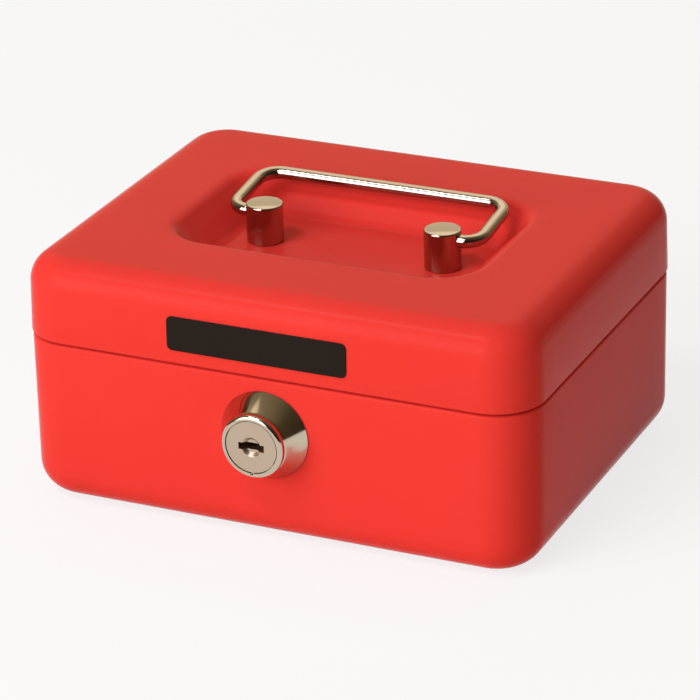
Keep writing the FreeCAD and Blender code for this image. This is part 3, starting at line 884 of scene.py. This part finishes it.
@dataclass(frozen=True)
class CadDress:
    """CAD nodes that keep their shape, with the finish and the edge rounding of each."""

    edge: float = 0.12
    tray_edge: float = 0.5
    edge_segments: int = 2
    edge_angle: float = 40.0
    flat_angle: float = 0.5
    weld_gap: float = 0.001

    def finishes(self) -> dict[Finish, tuple[str, ...]]:
        """Give the nodes that wear each finish.

        Returns:
            Names of nodes, by finish.
        """
        return {
            RED_PAINT: ("hinge_leaf_base", "hinge_leaf_lid", "tray_rest_left", "tray_rest_right"),
            CHROME: ("lock_barrel",),
            NICKEL: ("lock_plug",),
            ZINC: ("hinge_pin", "lock_cam", "cam_washer", "cam_screw", "lock_washer", "lock_nut",
                   "keeper", "post_screws", "post_washers"),
            BRASS: ("lock_wafers",),
            TRAY_BLACK: ("coin_tray",),
            BADGE_BLACK: ("badge_plate",),
        }

    def soften(self, piece: bpy.types.Object, width: float) -> None:
        """Join a node's triangles, round its edges and shade it by face area.

        Args:
            piece: The node's object.
            width: Width of the edge rounding.
        """
        weld = piece.modifiers.new("weld", "WELD")
        weld.merge_threshold = self.weld_gap * MM
        planar = piece.modifiers.new("planar", "DECIMATE")
        planar.decimate_type = "DISSOLVE"
        planar.angle_limit = math.radians(self.flat_angle)
        bevel = piece.modifiers.new("edge", "BEVEL")
        bevel.width = width * MM
        bevel.segments = self.edge_segments
        bevel.limit_method = "ANGLE"
        bevel.angle_limit = math.radians(self.edge_angle)
        piece.modifiers.new("shade", "WEIGHTED_NORMAL")

    def build(self, nodes: dict[str, bpy.types.Object]) -> None:
        """Dress every kept node.

        Args:
            nodes: Objects of the CAD nodes, by name.
        """
        for finish, names in self.finishes().items():
            for name in names:
                finish.dress(nodes[name])
                self.soften(nodes[name], self.tray_edge if name == "coin_tray" else self.edge)
                LOG.info("dressed %s in %s", name, finish.name)


# Studio


@dataclass(frozen=True)
class Camera:
    """Camera of the photograph, from a fit of the box's edges and corners."""

    azimuth: float = 24.80
    elevation: float = 23.97
    roll: float = -1.42
    distance: float = 1045.06
    aim_height: float = 40.0
    shift_right: float = 1.464
    shift_up: float = 7.013
    focal_px: float = 3681.16
    picture_px: float = 700.0
    sensor: float = 36.0

    def build(self) -> None:
        """Place the camera by its right, up and backward directions."""
        a, e, t = (math.radians(v) for v in (self.azimuth, self.elevation, self.roll))
        back = Vector((math.sin(a) * math.cos(e), -math.cos(a) * math.cos(e), math.sin(e)))
        level = Vector((math.cos(a), math.sin(a), 0.0))
        rise = back.cross(level)
        right = level * math.cos(t) + rise * math.sin(t)
        up = rise * math.cos(t) - level * math.sin(t)
        place = Vector((0.0, 0.0, self.aim_height)) + back * self.distance
        place -= right * self.shift_right + up * self.shift_up
        data = bpy.data.cameras.new("photo_camera")
        data.sensor_width = self.sensor
        data.lens = self.focal_px / self.picture_px * self.sensor
        camera = bpy.data.objects.new("photo_camera", data)
        axes = Matrix((right, up, back)).transposed().to_4x4()
        camera.matrix_world = Matrix.Translation(place * MM) @ axes
        bpy.context.scene.collection.objects.link(camera)
        bpy.context.scene.camera = camera


@dataclass(frozen=True)
class Softbox:
    """Flat lamp, with a width and a height, that looks at the box.

    Its level is the share of a colour's own brightness that it gives a sheet facing it.
    """

    name: str
    place: Triple
    size: Pair
    level: float
    colour: Triple = (1.0, 1.0, 1.0)
    aim_height: float = 0.04

    def build(self) -> None:
        """Make the lamp, with an energy of its level times the square of pi times its distance."""
        data = bpy.data.lights.new(self.name, "AREA")
        aim = Vector(self.place) - Vector((0.0, 0.0, self.aim_height))
        data.shape = "RECTANGLE"
        data.size, data.size_y = self.size
        data.energy = self.level * math.pi ** 2 * aim.length_squared
        data.color = self.colour
        lamp = bpy.data.objects.new(self.name, data)
        lamp.location = self.place
        lamp.rotation_mode = "QUATERNION"
        lamp.rotation_quaternion = aim.to_track_quat("Z", "Y")
        bpy.context.scene.collection.objects.link(lamp)


@dataclass(frozen=True)
class Studio:
    """Pale floor whose bounce colour holds a painted pool of light and painted shade, soft lamps and
    a plain warm room.
    """

    floor_half: float = 3.0
    floor_drop: float = 0.0002
    floor_colour: Triple = (0.95, 0.95, 0.95)
    floor_lift: float = 0.78
    floor_roughness: float = 0.9
    # painted light near the box and painted shade to the rear left, in the colour that the floor
    # bounces onto the box
    painted_light_near: Triple = (0.84, 0.70, 0.52)
    painted_shade_far: Triple = (0.10, 0.09, 0.08)
    painted_pool_turn: Triple = (0.5, -0.85, 0.0)
    painted_pool_span: Pair = (-0.25, 0.12)
    room_colour: Triple = (1.0, 0.93, 0.84)
    room_level: float = 0.22
    room_up: Triple = (-0.25, 0.75, 0.60)
    room_span: Pair = (-1.0, 1.0)
    room_tones: Stops = (
        (0.25, (0.020, 0.015, 0.010)),
        (0.55, (0.080, 0.062, 0.035)),
        (0.83, (0.300, 0.235, 0.145)),
        (0.95, (1.000, 0.820, 0.570)),
    )
    lamps: tuple[Softbox, ...] = (
        Softbox("key", place=(-0.75, -1.75, 0.8), size=(1.7, 1.3), level=0.80),
        Softbox("edge", place=(-0.5, -0.95, 1.75), size=(1.0, 0.1), level=0.25),
        Softbox("back", place=(-0.5, 1.0, 1.6), size=(1.9, 1.9), level=0.20,
                colour=(1.0, 0.88, 0.70)),
    )

    def floor_material(self) -> bpy.types.Material:
        """Make the floor's material.

        Rays that light other surfaces find a warm pool of light painted into the floor's colour,
        fading to painted shade at the rear left.
        The camera, metal and glass see a white sheet that is partly lifted out of its shadow.

        Returns:
            The material.
        """
        nodes = SurfaceTree("pale_floor")
        # painted pool of light and painted shade: the floor's colour runs from warm to dark along one
        # direction
        pool = nodes.remap(nodes.along("Object", self.painted_pool_turn), self.painted_pool_span)
        nodes.feed("Base Color", nodes.ramp(pool, ((0.0, self.painted_shade_far), (1.0, self.painted_light_near))))
        nodes.set("Roughness", self.floor_roughness)
        nodes.set("Specular IOR Level", 0.0)
        sheet = nodes.add("ShaderNodeBsdfDiffuse", Color=(*self.floor_colour, 1.0))
        glow = nodes.add("ShaderNodeEmission", Strength=1.0)
        lifted = nodes.mix(sheet, glow)
        lifted.inputs["Fac"].default_value = self.floor_lift
        floor = nodes.mix(nodes.surface, lifted)
        nodes.link(nodes.seen(), floor.inputs["Fac"])
        nodes.link(floor.outputs[0], nodes.tree.nodes["Material Output"].inputs["Surface"])
        return nodes.material

    def build_floor(self) -> None:
        """Lay the floor just under the box."""
        half = self.floor_half
        mesh = bpy.data.meshes.new("floor")
        corners = [(-half, -half, 0.0), (half, -half, 0.0), (half, half, 0.0), (-half, half, 0.0)]
        mesh.from_pydata(corners, [], [(0, 1, 2, 3)])
        mesh.materials.append(self.floor_material())
        floor = bpy.data.objects.new("floor", mesh)
        floor.location.z = -self.floor_drop
        bpy.context.scene.collection.objects.link(floor)

    def build_room(self) -> None:
        """Make the room as the world.

        Rays that light the box find an even warm level. The camera, metal and glass see tones
        that run from the dark side of the room to its bright side.
        """
        world = bpy.data.worlds.new("room")
        bpy.context.scene.world = world
        nodes = NodeTree(world)
        even = nodes.tree.nodes["Background"]
        even.inputs["Color"].default_value = (*self.room_colour, 1.0)
        even.inputs["Strength"].default_value = self.room_level
        tones = nodes.add("ShaderNodeBackground")
        side = nodes.remap(nodes.along("Generated", self.room_up), self.room_span)
        nodes.link(nodes.ramp(side, self.room_tones), tones.inputs["Color"])
        room = nodes.mix(even, tones)
        nodes.link(nodes.seen(), room.inputs["Fac"])
        nodes.link(room.outputs[0], nodes.tree.nodes["World Output"].inputs["Surface"])

    def build(self) -> None:
        """Make the floor, the room, the lamps and the view settings."""
        self.build_floor()
        self.build_room()
        for lamp in self.lamps:
            lamp.build()
        bpy.context.scene.view_settings.view_transform = "Standard"


def main() -> None:
    """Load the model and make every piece."""
    logging.basicConfig(level=logging.INFO)
    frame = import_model()
    Studio().build()
    Camera().build()
    plan = Outline()
    lid = LidShell(plan)
    BaseShell(plan).build()
    lid.build()
    Handle(lid.recess_floor).build()
    Lock(plan).build()
    CadDress().build(frame["nodes"])


if __name__ == "__main__":
    main()
